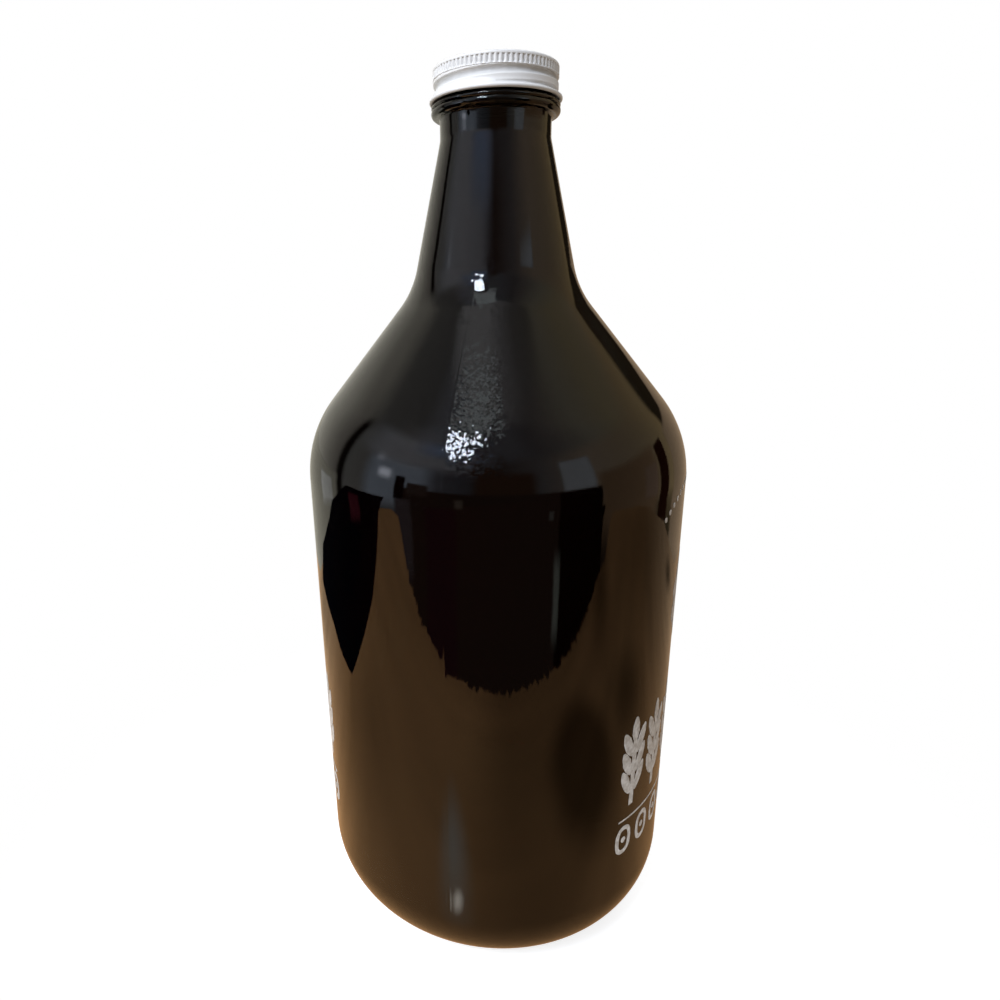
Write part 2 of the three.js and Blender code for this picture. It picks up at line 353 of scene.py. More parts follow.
inner_foot, inner_wall, mouth = FOOT - FOOT_WIDTH, inner_corners[0, 0], inner_corners[-1, 0]
inside = np.concatenate([
    base_dome(BASE, 12)[1:],
    arc((inner_foot, HEEL_HEIGHT), (inner_wall - inner_foot, HEEL_HEIGHT - BASE), -90, 0, 24)[1:],
    rounded(inner_corners, [ROUNDINGS[0] - WALL, ROUNDINGS[1] + WALL, ROUNDINGS[2]], [24, 16, 6]),
    [(mouth, LIP_Z - MOUTH_ROUNDING)],
    arc((mouth + MOUTH_ROUNDING, LIP_Z - MOUTH_ROUNDING), (MOUTH_ROUNDING, MOUTH_ROUNDING),
        180, 90, 4)[1:],
])
glass_profile = densify(np.concatenate([outside, inside[::-1]]), LONGEST_STEP)
widest = outside[:, 0].max()
print(f"glass outline: {len(glass_profile)} points, widest radius {widest:.2f} mm")

# %% The glass wall
SEAM_HEIGHT, SEAM_WIDTH = 0.03, 0.3          # mm
COLUMNS, SEAM_COLUMNS = 180, 17              # of the grid, all round and at each seam
SEAM_SPREAD, SEAM_GAP = 1.6, 1.9             # degrees either side: close columns, no even column
seam_angles = np.radians([SEAM_ANGLE, SEAM_ANGLE + 180])


def off_the_seams(angle):
    """The angle to each of the two seams, from -pi to pi."""
    return (angle[..., None] - seam_angles + np.pi) % (2 * np.pi) - np.pi


def seam(r, angle, z):
    """A ridge on the outside only, height * exp(-(distance along the skin / width)^2), fading at
    heel and ring."""
    ridge = np.exp(-((off_the_seams(angle) * r[..., None] / SEAM_WIDTH) ** 2)).sum(-1)
    outer = r > np.interp(z, skin[:, 1], skin[:, 0]) - 1
    return SEAM_HEIGHT * ridge * outer * smooth_step(z, 6, 30) * (1 - smooth_step(z, 262, 267))


evenly = np.arange(COLUMNS) * 2 * np.pi / COLUMNS
evenly = evenly[np.abs(off_the_seams(evenly)).min(1) > np.radians(SEAM_GAP)]
at_seam = np.radians(np.linspace(-SEAM_SPREAD, SEAM_SPREAD, SEAM_COLUMNS))
at_seams = (seam_angles[:, None] + at_seam).ravel() % (2 * np.pi)
columns = np.sort(np.concatenate([evenly, at_seams]))
glass_points = np.vstack([lathe(glass_profile, columns, seam), [0, 0, PUSH_UP], [0, 0, BASE + PUSH_UP]])
glass_faces = closed_shell(len(glass_profile), len(columns))
bottle = piece("glass_bottle", glass_points, glass_faces, amber_glass)
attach(bottle, "root")
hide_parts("bottle")

# %% [markdown]
# ## White enamel on steel
#
# The cap is pressed from thin steel that was coated flat, with a baked white
# enamel, before it was pressed. It has a soft gloss and a faint orange peel.
# Grooves are painted grey, darker the deeper they lie: a painted shade for the
# light they miss, mixed with the dust that settles there. So the mesh carries an
# attribute of how far each point lies below the skin.

# %% Enamel
CLOUD_SIZE, PEEL_SIZE, PEEL_HEIGHT = 6, 0.9, 0.01    # mm

white_enamel, tree, output = new_material("white_baked_enamel")
place = add(tree, "ShaderNodeTexCoord").outputs["Object"]
sunk = add(tree, "ShaderNodeAttribute", attribute_name="sunk").outputs["Fac"]
cloud = add(tree, "ShaderNodeTexNoise", {
    "Vector": place, "Scale": 1 / (CLOUD_SIZE * MM), "Detail": 3.0}).outputs["Fac"]
# painted shade and dust in the grooves: grey by depth below the skin, patchy by the cloud
dust_and_painted_shade = add(tree, "ShaderNodeMath", {0: sunk, 1: cloud}, operation="MULTIPLY").outputs[0]
tint = add(tree, "ShaderNodeMix", {
    "Factor": dust_and_painted_shade, 6: linear("#f4f5f6"), 7: linear("#9fa3a6")}, data_type="RGBA").outputs[2]
peel = add(tree, "ShaderNodeTexNoise", {
    "Vector": place, "Scale": 1 / (PEEL_SIZE * MM), "Detail": 2.0}).outputs["Fac"]
relief = add(tree, "ShaderNodeBump", {
    "Height": peel, "Strength": 1.0, "Distance": PEEL_HEIGHT * MM}).outputs[0]
gloss = add(tree, "ShaderNodeMapRange", {"Value": cloud, "To Min": 0.24, "To Max": 0.42})
enamel = add(tree, "ShaderNodeBsdfPrincipled", {
    "Base Color": tint, "Roughness": gloss.outputs[0], "IOR": 1.5, "Normal": relief})
tree.links.new(enamel.outputs[0], output.inputs["Surface"])

# %% [markdown]
# ## The cap
#
# One press forms the crown with its upright knurls for grip. A roller then
# pushes the skirt into the thread on the glass, which leaves a screw-shaped
# groove, and the edge is curled outwards so that it can't cut. All of that is
# one surface: the profile is turned on a lathe, and a function of the angle and
# the height presses it in.

# %% Outline of the cap, in mm
CAP_TOP, CROWN_Z, EDGE_Z, UNDERSIDE_Z = 285.0, 281.2, 275.0, 284.2
CROWN, RIM_ROUNDING, SKIRT, BORE = 19.5, 0.7, 19.4, 18.6
TOP_DISH = 0.02                              # the middle lies that much below the rim
TOP_RING = [(13.2, 0.02), (13.8, 0.16), (14.4, 0.2), (15.0, 0.16), (15.6, 0.02)]    # radius, depth
FLARE, FLARE_HEIGHT, FLARE_RUN = 0.75, 3.2, 2.0
CURL, CURL_CENTRE, CURL_BORE = 0.6, 20.1, 19.4
KNURLS, KNURL_DEPTH, KNURL_TOP_Z, KNURL_FOOT_Z, KNURL_SHARPNESS = 80, 0.4, 284.0, 281.5, 1.6
KNURL_STEPS = 10                             # columns of the grid in one knurl

cap_profile = np.concatenate([
    [(6, CAP_TOP - TOP_DISH), *((r, CAP_TOP - d) for r, d in TOP_RING), (17.2, CAP_TOP)],
    arc((CROWN - RIM_ROUNDING, CAP_TOP - RIM_ROUNDING), (RIM_ROUNDING, RIM_ROUNDING), 90, 0, 7),
    [(CROWN, KNURL_TOP_Z + up) for up in (0.12, 0, -0.12, -0.25)],
    [(CROWN, z) for z in np.linspace(KNURL_TOP_Z - 0.5, KNURL_FOOT_Z, 9)],
    [(CROWN - 0.12, CROWN_Z + 0.3), (SKIRT - 0.1, CROWN_Z + 0.1)],
    [(SKIRT, z) for z in np.linspace(CROWN_Z, EDGE_Z + FLARE_HEIGHT, 24)],
    [(SKIRT + FLARE * ((FLARE_HEIGHT - h) / FLARE_RUN) ** 2, EDGE_Z + h)
     for h in np.linspace(3.0, 1.2, 10)],
    arc((CURL_CENTRE, EDGE_Z + CURL), (CURL, CURL), 50, -180, 14),
    [(CURL_BORE + 0.1, EDGE_Z + 0.9), (CURL_BORE - 0.1, EDGE_Z + 1.4), (BORE, EDGE_Z + 2.1)],
    [(BORE, 282), (BORE, UNDERSIDE_Z), (9, UNDERSIDE_Z)],
])
cap_angles = np.arange(KNURLS * KNURL_STEPS) * 2 * np.pi / (KNURLS * KNURL_STEPS)
print(f"cap outline: {len(cap_profile)} points, turned in {len(cap_angles)} columns")

# %% Knurls, thread groove and the pressed cap
GROOVE_DEPTH, GROOVE_HALF_WIDTH, PITCH, GROOVE_FRONT_Z = 0.7, 1.25, 4.2, 280.0    # mm
GROOVE_START, GROOVE_END, GROOVE_FADE = -0.04, 1.3, 0.08    # in turns from the front


def knurl_depth(angle, z):
    """Flutes: the depth is ((1 - cos(80 angle)) / 2) ^ 1.6. They end sharply under the rim and fade
    at the foot."""
    foot = smooth_step(z, KNURL_FOOT_Z, KNURL_FOOT_Z + 0.5)
    top = 1 - smooth_step(z, KNURL_TOP_Z - 0.13, KNURL_TOP_Z)
    return KNURL_DEPTH * foot * top * ((1 - np.cos(KNURLS * angle)) / 2) ** KNURL_SHARPNESS


def groove_depth(angle, z):
    """The rolled thread: a parabola across, round a centre that rises by the pitch in a turn, fading
    at its ends."""
    deepest = np.zeros_like(z)
    for lap in (0, 1):
        turns = angle / (2 * np.pi) + lap
        centre = GROOVE_FRONT_Z + PITCH * (turns - 1)
        section = np.clip(1 - ((z - centre) / GROOVE_HALF_WIDTH) ** 2, 0, 1)
        ends = np.clip(np.minimum(turns - GROOVE_START, GROOVE_END - turns) / GROOVE_FADE, 0, 1)
        deepest = np.maximum(deepest, section * smooth_step(ends, 0, 1))
    return GROOVE_DEPTH * deepest * (z < CROWN_Z + 0.2)


def cap_press(r, angle, z):
    """How far each point of the cap's outside moves towards the axis. The bore isn't pressed."""
    groove = groove_depth(angle, z) * smooth_step(z, EDGE_Z + 1, EDGE_Z + 2)
    return -(knurl_depth(angle, z) + groove) * (r > BORE + 0.3)


plain, cap_points = lathe(cap_profile, cap_angles), lathe(cap_profile, cap_angles, cap_press)
pressed = np.linalg.norm(plain[:, :2], axis=1) - np.linalg.norm(cap_points[:, :2], axis=1)
cap_points = np.vstack([cap_points, [0, 0, CAP_TOP - TOP_DISH], [0, 0, UNDERSIDE_Z]])
cap_faces = [face[::-1] for face in closed_shell(len(cap_profile), len(cap_angles))]
cap = piece("screw_cap", cap_points, cap_faces, white_enamel, sharp_degrees=60)
below_skin = np.append(np.clip(pressed / GROOVE_DEPTH, 0, 1), [0, 0]).astype(np.float32)
cap.data.attributes.new("sunk", "FLOAT", "POINT").data.foreach_set("value", below_skin)
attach(cap, "root")
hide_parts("cap")

# %% [markdown]
# ## Fired print
#
# The print is ceramic ink, screened onto the glass and fired in, so it stands a
# few hundredths of a millimetre proud and never quite fills evenly. It could be
# a painted mask in the glass material, but a mesh of its own keeps crisp edges
# and real relief.
#
# Every mark is a ribbon: a path across the label with a width that changes
# along it. A barley grain is a ribbon that swells and closes, a dot is a short
# round one, and a ring is one that meets itself. The marks are generic: barley
# ears, a hop cone, rings, a rule and an arc of dots.

# %% Ink
BLOTCH_SIZE, INK_GRAIN = 1.6, 0.02           # mm

fired_ink, tree, output = new_material("fired_white_ceramic_ink")
place = add(tree, "ShaderNodeTexCoord").outputs["Object"]
blotch = add(tree, "ShaderNodeTexNoise", {
    "Vector": place, "Scale": 1 / (BLOTCH_SIZE * MM), "Detail": 4.0}).outputs["Fac"]
full = add(tree, "ShaderNodeMapRange", {
    "Value": blotch, "From Min": 0.35, "From Max": 0.7}).outputs[0]
shade = add(tree, "ShaderNodeMix", {
    "Factor": full, 6: linear("#bfb9b1"), 7: linear("#edeae6")}, data_type="RGBA").outputs[2]
grain = add(tree, "ShaderNodeBump", {
    "Height": blotch, "Strength": 1.0, "Distance": INK_GRAIN * MM}).outputs[0]
ink = add(tree, "ShaderNodeBsdfPrincipled", {
    "Base Color": shade, "Roughness": 0.5, "IOR": 1.5, "Normal": grain})
tree.links.new(ink.outputs[0], output.inputs["Surface"])

# %% Ribbons on the glass
INK_LOW, INK_HIGH = 0.015, 0.06              # mm above the glass
ACROSS = np.array([-1, -0.96, -0.4, 0.4, 0.96, 1, 0.4, -0.4])    # of the half width
LIFT = np.array([INK_LOW, INK_HIGH, INK_HIGH, INK_HIGH, INK_HIGH, INK_LOW, INK_LOW, INK_LOW])
UNEVEN = 0.05                                # share by which a ribbon's width wavers
random = np.random.default_rng(7)


def ribbon(path, half_width, meets=False):
    """Label points (along, up, lift) and faces: each station of the path gets a loop of 8 points, at
    the path plus its normal times the half width times ACROSS. A ribbon that doesn't meet itself is
    closed at both ends."""
    path = np.asarray(path, float)
    step = np.roll(path, -1, 0) - np.roll(path, 1, 0) if meets else np.gradient(path, axis=0)
    normal = np.stack([-step[:, 1], step[:, 0]], 1) / np.linalg.norm(step, axis=1)[:, None]
    waver = 1 + UNEVEN * random.standard_normal(len(path))
    width = np.broadcast_to(half_width, len(path)) * waver
    flat = path[:, None] + normal[:, None] * (width[:, None] * ACROSS)[..., None]
    lift = np.broadcast_to(LIFT, flat.shape[:2])
    loop_size = len(ACROSS)
    faces = quads(len(path), loop_size, rows_meet=meets).tolist()
    if not meets:
        last = (len(path) - 1) * loop_size
        faces += [list(range(loop_size))[::-1], list(range(last, last + loop_size))]
    return np.concatenate([flat, lift[..., None]], 2).reshape(-1, 3), faces


def line(start, end, half_width, swell=0.0, steps=14, point=0.6):
    """A straight ribbon. swell 0 gives even width; swell 1 the width of a leaf, sin(pi t)^point."""
    t = np.linspace(0.02, 0.98, steps)[:, None]
    leaf = np.sin(np.pi * t[:, 0]) ** point
    path = np.array(start) + np.subtract(end, start) * t
    return ribbon(path, half_width * (1 - swell + swell * leaf))


def dot(centre, radius, steps=11):
    """A round ribbon: half width is radius * sqrt(1 - t^2) along a diameter."""
    t = np.sin(np.linspace(-0.47, 0.47, steps) * np.pi)
    path = np.stack([np.full(steps, centre[0]), centre[1] + radius * t], 1)
    return ribbon(path, radius * np.sqrt(1 - t ** 2))


def loop(centre, radii, half_width, steps=28, power=1.0):
    """A closed ribbon round an ellipse, made rounder or squarer by the power on its sine and
    cosine."""
    a = np.arange(steps) / steps * 2 * np.pi
    c, s = (np.sign(f) * np.abs(f) ** power for f in (np.cos(a), np.sin(a)))
    path = np.stack([centre[0] + radii[0] * c, centre[1] + radii[1] * s], 1)
    return ribbon(path, half_width, meets=True)


def barley(along, foot, height):
    """A stem with three pairs of grains and one on top."""
    grain = {"half_width": 1.9, "swell": 1}
    marks = [line((along, foot), (along, foot + height - 8), 1.1)]
    for pair in range(3):
        low = foot + height * (0.16 + 0.21 * pair)
        for side in (-1, 1):
            marks.append(line((along + side * 1.3, low), (along + side * 5.6, low + 9.6), **grain))
    return marks + [line((along, foot + height - 9.5), (along, foot + height), **grain)]


def hop(along, low, size):
    """A hop cone: rows of pointed leaves that hang like scales, widest above the middle, down to one
    at the tip."""
    marks = []
    for row, leaves in enumerate([2, 3, 4, 3, 4, 3, 2, 1]):
        for k in range(leaves):
            off = k - (leaves - 1) / 2
            x = along + off * size * 0.155
            y = low + size * (0.84 - 0.092 * row)
            tip = (x + off * 0.03 * size, y - size * 0.2)
            marks.append(line((x, y), tip, size * 0.06, swell=1, point=1.2))
    return marks + [line((along, low + size * 0.84), (along + size * 0.08, low + size), 0.7)]

# %% One label, printed on two sides
EARS, EAR_PITCH, EAR_FOOT_Z, EAR_HEIGHT = 6, 14.2, 55.5, 33      # mm, as all of the label
RULE_REACH, RULE_Z, RULE_HALF_WIDTH = 41, 51.3, 0.32
RINGS, RINGS_REACH, RINGS_Z, RING_RADII, RING_HALF_WIDTH = 8, 38, 43.5, (3.1, 4.6), 0.8
DOTS, DOTS_REACH, DOTS_RADIUS, DOTS_CENTRE_Z = 19, 34, 50, 110   # the second in degrees
HOP_Z, HOP_SIZE = 100, 42
SIDES = (("print_right", 78.0), ("print_left", -102.0))          # degrees off the front

marks = []
for k in range(EARS):
    marks += barley(EAR_PITCH * (k - (EARS - 1) / 2), EAR_FOOT_Z, EAR_HEIGHT)
rule = np.stack([np.linspace(-RULE_REACH, RULE_REACH, 60), np.full(60, RULE_Z)], 1)
marks.append(ribbon(rule, RULE_HALF_WIDTH))
for along in np.linspace(-RINGS_REACH, RINGS_REACH, RINGS):
    marks.append(loop((along, RINGS_Z), RING_RADII, RING_HALF_WIDTH, power=0.8))
    marks.append(dot((along, RINGS_Z), 1.1))
for a in np.radians(np.linspace(-DOTS_REACH, DOTS_REACH, DOTS)):
    on_arc = (DOTS_RADIUS * np.sin(a), DOTS_CENTRE_Z + DOTS_RADIUS * np.cos(a))
    marks.append(dot(on_arc, 0.85, steps=9))
marks += hop(0, HOP_Z, HOP_SIZE)

starts = np.cumsum([0] + [len(points) for points, _ in marks])
flat = np.concatenate([points for points, _ in marks])
label_faces = [[i + s for i in f] for s, (_, faces) in zip(starts, marks) for f in faces]


def on_glass(flat, centre_degrees):
    """Label points wrapped on the skin: the angle is the length along the label over the skin's
    radius there."""
    r = np.interp(flat[:, 1], skin[:, 1], skin[:, 0])
    angle = np.radians(centre_degrees) + flat[:, 0] / r
    r = r + flat[:, 2]
    return np.stack([r * np.sin(angle), -r * np.cos(angle), flat[:, 1]], 1)


for name, centre in SIDES:
    label = piece(name, on_glass(flat, centre), label_faces, fired_ink)
    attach(label, "root")

# %% [markdown]
# ## The studio
#
# Dark glass shows its surroundings more than itself, so lighting it means
# placing what it mirrors. A pale floor fades into a white background. Only the
# gloss and the glass see the rest: a tan board on the floor, dark past its front
# edge and on the left, and plain panels of light and shade around. A panel is
# given by its compass direction off the front and its height, both in degrees,
# as studio lights are. A flag is a panel that is there for its darkness. None of
# them belongs to the object.

# %% Floor
FLOOR_RADIUS, SHADOW_FULL, SHADOW_GONE = 0.45, 0.07, 0.2         # metres from the middle

floor_material, tree, output = new_material("pale_floor")
place = add(tree, "ShaderNodeTexCoord").outputs["Object"]
away = add(tree, "ShaderNodeVectorMath", {0: place}, operation="LENGTH").outputs["Value"]
fade = add(tree, "ShaderNodeMapRange", {
    "Value": away, "From Min": SHADOW_FULL, "From Max": SHADOW_GONE},
    interpolation_type="SMOOTHSTEP").outputs[0]
paper = add(tree, "ShaderNodeBsdfPrincipled", {
    "Base Color": linear("#c8c8c8"), "Roughness": 1.0, "Specular IOR Level": 0.0,
    "Emission Color": (1, 1, 1, 1), "Emission Strength": 0.82})
clear = add(tree, "ShaderNodeBsdfTransparent")
mix = add(tree, "ShaderNodeMixShader", {0: fade, 1: paper.outputs[0], 2: clear.outputs[0]})
tree.links.new(mix.outputs[0], output.inputs["Surface"])


def card(name, corners, material, camera=False, faces=None):
    """A sheet through corners in metres. Unless it is for the camera, only the gloss and the glass
    see it."""
    mesh = bpy.data.meshes.new(name)
    mesh.from_pydata(corners, [], faces or [list(range(len(corners)))])
    mesh.materials.append(material)
    made = bpy.data.objects.new(name, mesh)
    scene.collection.objects.link(made)
    made.visible_camera = made.visible_diffuse = made.visible_shadow = camera
    made.visible_glossy = made.visible_transmission = not camera
    print(f"{name}: {len(corners)} points, for the {'camera' if camera else 'gloss'}")
    return made


rim = arc((0, 0), (FLOOR_RADIUS, FLOOR_RADIUS), 0, 360, 64)[:-1]
card("floor", [(x, y, 0.0) for x, y in rim], floor_material, camera=True)

# %% The tan board's light
# painted shadows on the board's glow: the bottle's contact shadow near its foot and patches of shade
# further off
PAINTED_SHADOWS = [    # centre and radii in metres, turn in degrees, soft share, light that is left
    ((0.118, -0.108), (0.065, 0.075), 0, 0.55, 0.33),
    ((0.42, 0.02), (0.34, 0.26), 0, 1.0, 0.55),
    ((0.2, -0.04), (0.08, 0.08), 0, 1.0, 0.4),
    ((0.3, 0.175), (0.06, 0.035), 0, 1.0, 0.3),
    ((0.3, -0.18), (0.16, 0.05), -31, 1.0, 0.45),
    ((-0.16, -0.03), (0.11, 0.09), 0, 1.0, 0.72),
    ((-0.2, 0.18), (0.1, 0.1), 0, 1.0, 0.65),
]
# painted glare on the board's glow: a soft sheen and a small bright core, which the heel of the glass
# mirrors
PAINTED_GLARE = [    # centre, radii and turn as above, colour, strength
    ((-0.036, -0.108), (0.018, 0.05), -30, "#e8dccb", 0.95),
    ((-0.0225, -0.0865), (0.0052, 0.0075), -20, "#fff6e8", 3.0),
]


def spot(tree, place, centre, radii, turn=0.0, soft=1.0):
    """1 in the middle of an ellipse on the floor and 0 from its edge outwards, smoothly over its
    outer soft part."""
    local = add(tree, "ShaderNodeMapping", {
        "Vector": place, "Location": (*centre, 0), "Scale": (*radii, 1),
        "Rotation": (0, 0, np.radians(turn))}, vector_type="TEXTURE").outputs[0]
    far = add(tree, "ShaderNodeVectorMath", {0: local}, operation="LENGTH").outputs["Value"]
    return add(tree, "ShaderNodeMapRange", {
        "Value": far, "From Min": 1 - soft, "From Max": 1.0, "To Min": 1.0, "To Max": 0.0},
        interpolation_type="SMOOTHSTEP").outputs[0]


# the board is no lamp but glows: its emission is painted light, a lit tan table for the glass to mirror
tan_board, tree, output = new_material("tan_board")
place = add(tree, "ShaderNodeTexCoord").outputs["Object"]
xyz = add(tree, "ShaderNodeSeparateXYZ", {0: place}).outputs
level = add(tree, "ShaderNodeMapRange", {
    "Value": xyz["X"], "From Min": -0.05, "From Max": 0.03, "To Min": 0.72, "To Max": 0.42},
    interpolation_type="SMOOTHSTEP").outputs[0]
for centre, radii, turn, soft, left in PAINTED_SHADOWS:
    share = add(tree, "ShaderNodeMapRange", {
        "Value": spot(tree, place, centre, radii, turn, soft), "To Min": 1.0, "To Max": left})
    level = add(tree, "ShaderNodeMath", {
        0: level, 1: share.outputs[0]}, operation="MULTIPLY").outputs[0]
long_grain = add(tree, "ShaderNodeMapping", {"Vector": place, "Scale": (4, 34, 1)}).outputs[0]
wood = add(tree, "ShaderNodeTexNoise", {"Vector": long_grain, "Scale": 1.0, "Detail": 3.0})
streaks = add(tree, "ShaderNodeMapRange", {
    "Value": wood.outputs["Fac"], "To Min": 0.7, "To Max": 1.3}).outputs[0]
level = add(tree, "ShaderNodeMath", {0: level, 1: streaks}, operation="MULTIPLY").outputs[0]
behind = add(tree, "ShaderNodeMapRange", {
    "Value": xyz["Y"], "From Min": 0.0, "From Max": 0.15}).outputs[0]
tan = add(tree, "ShaderNodeMix", {
    "Factor": behind, 6: linear("#ffc488"), 7: linear("#ffd4a6")}, data_type="RGBA").outputs[2]
board = add(tree, "ShaderNodeEmission", {"Color": tan, "Strength": level}).outputs[0]
for centre, radii, turn, colour, strength in PAINTED_GLARE:
    here = spot(tree, place, centre, radii, turn)
    glare = add(tree, "ShaderNodeEmission", {"Color": linear(colour), "Strength": strength})
    board = add(tree, "ShaderNodeMixShader", {0: here, 1: board, 2: glare.outputs[0]}).outputs[0]
tree.links.new(board, output.inputs["Surface"])
print("tan board:", len(tree.nodes), "nodes")

# %% Cards on the floor that the glass mirrors
BOARD_LIFT, FELT_LIFT = 0.001, 0.003         # metres, so that the black card covers the board
FRAY_STEP, FRAY_DEPTH = 0.004, 0.005

black_felt, tree, output = new_material("black_felt")
dark = add(tree, "ShaderNodeEmission", {"Color": linear("#0b0b12"), "Strength": 1.0})
tree.links.new(dark.outputs[0], output.inputs["Surface"])


def on_floor(name, outline, height, material):
    """A card that lies at a height over the floor."""
    return card(name, [(x, y, height) for x, y in outline], material)


def fringed(outline, tooth, depth):
    """An edge as teeth: a point every tooth metres along it, each moved across by a random part of
    the depth."""
    outline = np.array(outline)
    along = np.arange(outline[0, 0], outline[-1, 0], tooth)
    across = np.interp(along, outline[:, 0], outline[:, 1])
    across = across + depth * random.uniform(-1, 1, len(along))
    return np.stack([along, across], 1).tolist()


front_edge = fringed([
    (-0.304, -0.262), (-0.194, -0.231), (-0.10, -0.224), (0.013, -0.222), (0.117, -0.21),
    (0.202, -0.197), (0.308, -0.197), (0.345, -0.19)], FRAY_STEP, FRAY_DEPTH)
on_floor("tan_board", [
    *front_edge, (0.56, -0.235), (0.6, -0.05), (0.45, 0.17), (0.27, 0.24), (0.12, 0.5),
    (-0.12, 0.42), (-0.235, 0.235), (-0.6, 0.1), (-0.6, -0.38)], BOARD_LIFT, tan_board)
on_floor("black_card_left", [
    (-0.205, -0.003), (-0.235, 0.09), (-0.24, 0.2), (-0.33, 0.228), (-0.45, 0.175),
    (-0.62, 0.14), (-1.6, 0.12), (-1.6, -0.78), (-0.406, -0.172), (-0.303, -0.104),
    (-0.252, -0.056)], FELT_LIFT, black_felt)

# %% Panels around the room
SHOULDER_MIDDLE = np.array([0, 0, 0.18])     # metres; panels and lights face it
PANEL_LINES = 25                             # of a panel's grid, each way


def toward(azimuth, elevation):
    """The direction at an azimuth off the front and an elevation, in degrees:
    (sin a cos e, -cos a cos e, sin e)."""
    a, e = np.radians(azimuth), np.radians(elevation)
    return np.stack([np.sin(a) * np.cos(e), -np.cos(a) * np.cos(e), np.sin(e)], -1)


def panel(name, azimuths, elevations, hex_colour, strength=1.0, soft=1.5, distance=1.5):
    """A curved sheet between two azimuths and two elevations, in degrees, round the middle of the
    shoulder. It fades out over its last soft degrees, or over a pair of them for the two
    directions, by an attribute that is the product of two S curves."""
    soft_across, soft_up = np.broadcast_to(soft, 2)
    wide = np.linspace(*azimuths, PANEL_LINES)
    high = np.linspace(*elevations, PANEL_LINES)
    e, a = np.meshgrid(high, wide, indexing="ij")
    points = (toward(a, e) * distance + SHOULDER_MIDDLE).reshape(-1, 3)
    full = (smooth_step(np.minimum(a - wide[0], wide[-1] - a), 0, soft_across)
            * smooth_step(np.minimum(e - high[0], high[-1] - e), 0, soft_up))
    material, tree, output = new_material(name)
    fade = add(tree, "ShaderNodeAttribute", attribute_name="full").outputs["Fac"]
    light = add(tree, "ShaderNodeEmission", {"Color": linear(hex_colour), "Strength": strength})
    clear = add(tree, "ShaderNodeBsdfTransparent")
    blend = add(tree, "ShaderNodeMixShader", {0: fade, 1: clear.outputs[0], 2: light.outputs[0]})
    tree.links.new(blend.outputs[0], output.inputs["Surface"])
    faces = quads(PANEL_LINES, PANEL_LINES, columns_meet=False).tolist()
    made = card(name, points.tolist(), material, faces=faces)
    values = full.ravel().astype(np.float32)
    made.data.attributes.new("full", "FLOAT", "POINT").data.foreach_set("value", values)
    return made


panel("top_light", (-41, 6), (53, 70), "#e9f3f6", 1.4, soft=4)
panel("soft_light_left", (-84, -32), (-16, 31), "#cfdcee", 1.1, soft=12, distance=1.6)
panel("high_light_left", (-100, -2), (18, 44), "#c0c3ca", 1.15, soft=(26, 8))
panel("halo_left", (-60, 0), (29, 45), "#a9bee2", 1.1, soft=(24, 7), distance=1.45)
panel("small_light_left", (-72, -59), (6, 17), "#eaf0ff", 3.6, soft=5)
panel("streak_left", (-76, -67), (17, 28), "#eaf0ff", 1.8, soft=4)
panel("soft_light_right", (37, 59), (0, 28), "#d2d8de", soft=2.5)
panel("warm_panel_right", (57, 108), (-24, 16), "#a08264", soft=6, distance=1.6)
panel("brown_flag_right", (106, 117), (-20, 12), "#33190e")
panel("pale_panel_right", (92, 105), (-14, 5), "#a58a76", soft=2)
panel("warm_panel_back", (122, 175), (-24, 11), "#b0977b", soft=2, distance=1.6)
panel("white_panel_left", (-124, -108), (-18, -6), "#f4f4ee")
panel("pale_panel_left", (-176, -102), (-26, -2), "#c2beae", distance=1.6)
panel("crimson_strip", (-89, -79), (-21, -10), "#6a2c3a", distance=0.5)
panel("shade_in_front", (-58, 62), (-42, 5), "#463a32", soft=0.8, distance=1.4)
panel("brown_panel_front", (-14, 26), (-2, 24), "#5a4637", soft=6, distance=1.45)
panel("black_flag_right", (35, 61), (-40, 4), "#0c0e09", soft=0.8, distance=1.2)
panel("black_flag_low", (58, 63), (-40, -10), "#0c0e09", soft=0.8, distance=1.2)
panel("plum_panel", (-40, -20), (-42, -8), "#452c32", soft=2, distance=1.3)
panel("grey_panel", (-58, -46), (-26, -4), "#6b6264", soft=2.5, distance=1.3)
panel("black_flag_left", (-58, -51), (-6, 12), "#130f0d", soft=1, distance=1.2)
panel("dim_panel_front", (-51, -36), (-2, 9), "#5d5049", soft=2, distance=1.2)
panel("pale_strip_high", (29, 32.5), (-18, -10), "#7b7a74", soft=1, distance=1.1)
panel("pale_strip_low", (33, 37.5), (-31.5, -22), "#a3aaa0", soft=(1.2, 3), distance=1.1)
panel("pale_patch", (-22, -16), (-9, 0), "#85796c", soft=2, distance=1.1)

# %% [markdown]
# ## Light
#
# The world is a soft room that shows each kind of ray its own side. The camera
# sees plain white. Matt surfaces get a low even light, with a warm bounce from
# below. The gloss sees walls and a ceiling, neutral on the left and warm on the
# right, which turn dark below the horizon. Area lights do the rest.

# %% Room
MATT_LIGHT = 0.28

world = bpy.data.worlds.new("soft_room")
scene.world = world
world.use_nodes = True
tree = world.node_tree
tree.nodes.clear()
way = add(tree, "ShaderNodeTexCoord").outputs["Generated"]
xyz = add(tree, "ShaderNodeSeparateXYZ", {0: way}).outputs
share = add(tree, "ShaderNodeMapRange", {
    "Value": off_the_front(tree, xyz), "From Min": -np.pi, "From Max": np.pi}).outputs[0]


def around_the_room(stops):
    """Colours round the compass, from pairs of degrees off the front and a hex colour."""
    node = add(tree, "ShaderNodeValToRGB", {0: share})
    ramp = node.color_ramp.elements
    while len(ramp) < len(stops):
        ramp.new(0.5)
    for stop, (degrees, colour) in zip(ramp, stops):
        stop.position, stop.color = (degrees + 180) / 360, linear(colour)
    return node.outputs[0]


